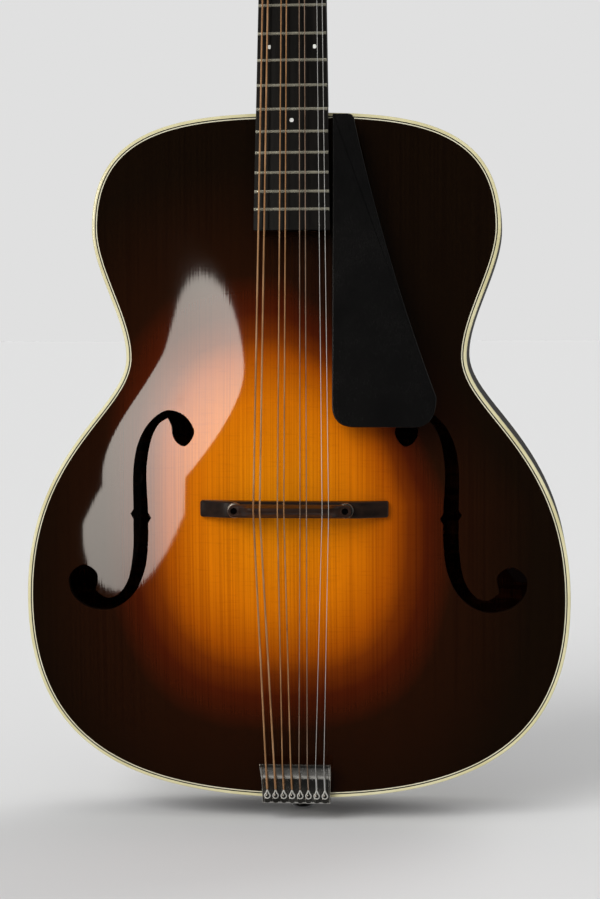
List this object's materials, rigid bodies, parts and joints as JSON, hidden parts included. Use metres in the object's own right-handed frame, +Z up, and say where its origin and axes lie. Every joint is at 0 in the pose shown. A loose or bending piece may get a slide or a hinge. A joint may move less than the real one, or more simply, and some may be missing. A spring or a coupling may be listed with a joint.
{
  "type": "octave mandolin",
  "caption": "Octave mandolin with a carved top, f-holes, floating height-adjustable bridge, metal tailpiece, raised pickguard and open worm-gear tuning machines.",
  "frame": {"origin": "middle of the headstock's thickness, in line with the flare of its shoulders, where a wall hanger's yoke holds the instrument", "axes": "+Z up along the instrument from the tail to the headstock, -Y out of the carved top towards the player's strumming hand, +X towards the treble side"},
  "size_m": [0.356, 0.1442, 0.9195],
  "materials": {
    "spruce_top": "high gloss, sunburst",
    "stained_maple": "high gloss, dark stain",
    "mahogany": "bare, sanded",
    "pale_spruce": "bare, sanded",
    "lacquered_neck": "gloss lacquer",
    "ebony": "satin, oiled",
    "cream_binding": "lacquered",
    "bone": "polished bone",
    "steel": "plain",
    "brass": "plain",
    "nickel": "nickel plated",
    "black_plastic": "polished",
    "bronze_string": "wound phosphor bronze",
    "steel_string": "plain and wound steel"
  },
  "bodies": {
    "instrument": {"truss_rod": "steel", "fingerboard": "ebony", "nut": "bone", "pickguard": "black_plastic", "headplate": "ebony", "truss_rod_cover": "black_plastic", "tuner_plate_bass": "nickel", "tuner_plate_treble": "nickel", "top_plate": "spruce_top", "back_plate": "stained_maple", "top_binding": "cream_binding", "back_binding": "cream_binding", "rib_bass": "stained_maple", "top_lining_bass": "mahogany", "back_lining_bass": "mahogany", "rib_treble": "stained_maple", "top_lining_treble": "mahogany", "back_lining_treble": "mahogany", "neck_block": "mahogany", "tail_block": "mahogany", "tone_bar_bass": "pale_spruce", "tone_bar_treble": "pale_spruce", "heel_cap": "ebony", "neck": "lacquered_neck", "string_g1": "bronze_string", "string_g2": "bronze_string", "string_d1": "bronze_string", "string_d2": "bronze_string", "string_a1": "steel_string", "string_a2": "steel_string", "string_e1": "steel_string", "string_e2": "steel_string", "bridge_base": "ebony", "bridge_post_bass": "nickel", "bridge_post_treble": "nickel", "tailpiece": "nickel", "end_pin": "ebony", "pickguard_post": "black_plastic"},
    "truss_nut": {"truss_rod_nut": "brass"},
    "saddle": {"bridge_saddle": "ebony"},
    "wheel_bass": {"thumbwheel_bass": "nickel"},
    "wheel_treble": {"thumbwheel_treble": "nickel"},
    "button_bass_1": {"tuner_button_bass_1": "nickel"},
    "post_bass_1": {"tuner_post_bass_1": "nickel"},
    "button_bass_2": {"tuner_button_bass_2": "nickel"},
    "post_bass_2": {"tuner_post_bass_2": "nickel"},
    "button_bass_3": {"tuner_button_bass_3": "nickel"},
    "post_bass_3": {"tuner_post_bass_3": "nickel"},
    "button_bass_4": {"tuner_button_bass_4": "nickel"},
    "post_bass_4": {"tuner_post_bass_4": "nickel"},
    "button_treble_1": {"tuner_button_treble_1": "nickel"},
    "post_treble_1": {"tuner_post_treble_1": "nickel"},
    "button_treble_2": {"tuner_button_treble_2": "nickel"},
    "post_treble_2": {"tuner_post_treble_2": "nickel"},
    "button_treble_3": {"tuner_button_treble_3": "nickel"},
    "post_treble_3": {"tuner_post_treble_3": "nickel"},
    "button_treble_4": {"tuner_button_treble_4": "nickel"},
    "post_treble_4": {"tuner_post_treble_4": "nickel"}
  },
  "joints": [
    {"name": "button_turn_bass_1", "type": "hinge", "parent": "instrument", "child": "button_bass_1", "pos_m": [-0.0215, 0.02449, 0.02716], "axis": [1, 0, 0], "continuous": true},
    {"name": "post_turn_bass_1", "type": "hinge", "parent": "instrument", "child": "post_bass_1", "pos_m": [-0.0215, 0.0009, 0.02704], "axis": [0, -0.9511, 0.309], "continuous": true},
    {"name": "button_turn_bass_2", "type": "hinge", "parent": "instrument", "child": "button_bass_2", "pos_m": [-0.0215, 0.0316, 0.04904], "axis": [1, 0, 0], "continuous": true},
    {"name": "post_turn_bass_2", "type": "hinge", "parent": "instrument", "child": "post_bass_2", "pos_m": [-0.0215, 0.00801, 0.04892], "axis": [0, -0.9511, 0.309], "continuous": true},
    {"name": "button_turn_bass_3", "type": "hinge", "parent": "instrument", "child": "button_bass_3", "pos_m": [-0.0215, 0.03871, 0.07091], "axis": [1, 0, 0], "continuous": true},
    {"name": "post_turn_bass_3", "type": "hinge", "parent": "instrument", "child": "post_bass_3", "pos_m": [-0.0215, 0.01512, 0.07079], "axis": [0, -0.9511, 0.309], "continuous": true},
    {"name": "button_turn_bass_4", "type": "hinge", "parent": "instrument", "child": "button_bass_4", "pos_m": [-0.0215, 0.04581, 0.09278], "axis": [1, 0, 0], "continuous": true},
    {"name": "post_turn_bass_4", "type": "hinge", "parent": "instrument", "child": "post_bass_4", "pos_m": [-0.0215, 0.02222, 0.09267], "axis": [0, -0.9511, 0.309], "continuous": true},
    {"name": "button_turn_treble_1", "type": "hinge", "parent": "instrument", "child": "button_treble_1", "pos_m": [0.0215, 0.02449, 0.02716], "axis": [1, 0, 0], "continuous": true},
    {"name": "post_turn_treble_1", "type": "hinge", "parent": "instrument", "child": "post_treble_1", "pos_m": [0.0215, 0.0009, 0.02704], "axis": [0, -0.9511, 0.309], "continuous": true},
    {"name": "button_turn_treble_2", "type": "hinge", "parent": "instrument", "child": "button_treble_2", "pos_m": [0.0215, 0.0316, 0.04904], "axis": [1, 0, 0], "continuous": true},
    {"name": "post_turn_treble_2", "type": "hinge", "parent": "instrument", "child": "post_treble_2", "pos_m": [0.0215, 0.00801, 0.04892], "axis": [0, -0.9511, 0.309], "continuous": true},
    {"name": "button_turn_treble_3", "type": "hinge", "parent": "instrument", "child": "button_treble_3", "pos_m": [0.0215, 0.03871, 0.07091], "axis": [1, 0, 0], "continuous": true},
    {"name": "post_turn_treble_3", "type": "hinge", "parent": "instrument", "child": "post_treble_3", "pos_m": [0.0215, 0.01512, 0.07079], "axis": [0, -0.9511, 0.309], "continuous": true},
    {"name": "button_turn_treble_4", "type": "hinge", "parent": "instrument", "child": "button_treble_4", "pos_m": [0.0215, 0.04581, 0.09278], "axis": [1, 0, 0], "continuous": true},
    {"name": "post_turn_treble_4", "type": "hinge", "parent": "instrument", "child": "post_treble_4", "pos_m": [0.0215, 0.02222, 0.09267], "axis": [0, -0.9511, 0.309], "continuous": true},
    {"name": "saddle_lift", "type": "slide", "parent": "instrument", "child": "saddle", "axis": [0, -1, 0], "range_m": [-0.0015, 0.0025], "deforming": ["string_g1", "string_g2", "string_d1", "string_d2", "string_a1", "string_a2", "string_e1", "string_e2"]},
    {"name": "thumbwheel_bass_turn", "type": "hinge", "parent": "saddle", "child": "wheel_bass", "pos_m": [-0.0365, -0.04988, -0.58638], "axis": [0, -1, 0], "range_deg": [-681, 1134]},
    {"name": "thumbwheel_treble_turn", "type": "hinge", "parent": "saddle", "child": "wheel_treble", "pos_m": [0.0347, -0.04988, -0.58638], "axis": [0, -1, 0], "range_deg": [-681, 1134]},
    {"name": "truss_nut_turn", "type": "hinge", "parent": "instrument", "child": "truss_nut", "pos_m": [0, -0.00364, -0.00639], "axis": [0, 0.0698, 0.9976], "range_deg": [-360, 360]}
  ],
  "couplings": [
    {"joint": "post_turn_bass_1", "follows": "button_turn_bass_1", "ratio": 0.071429},
    {"joint": "post_turn_bass_2", "follows": "button_turn_bass_2", "ratio": 0.071429},
    {"joint": "post_turn_bass_3", "follows": "button_turn_bass_3", "ratio": 0.071429},
    {"joint": "post_turn_bass_4", "follows": "button_turn_bass_4", "ratio": 0.071429},
    {"joint": "post_turn_treble_1", "follows": "button_turn_treble_1", "ratio": 0.071429},
    {"joint": "post_turn_treble_2", "follows": "button_turn_treble_2", "ratio": 0.071429},
    {"joint": "post_turn_treble_3", "follows": "button_turn_treble_3", "ratio": 0.071429},
    {"joint": "post_turn_treble_4", "follows": "button_turn_treble_4", "ratio": 0.071429},
    {"joint": "thumbwheel_bass_turn", "follows": "saddle_lift", "rad_per_m": 7913.3},
    {"joint": "thumbwheel_treble_turn", "follows": "saddle_lift", "rad_per_m": 7913.3}
  ]
}
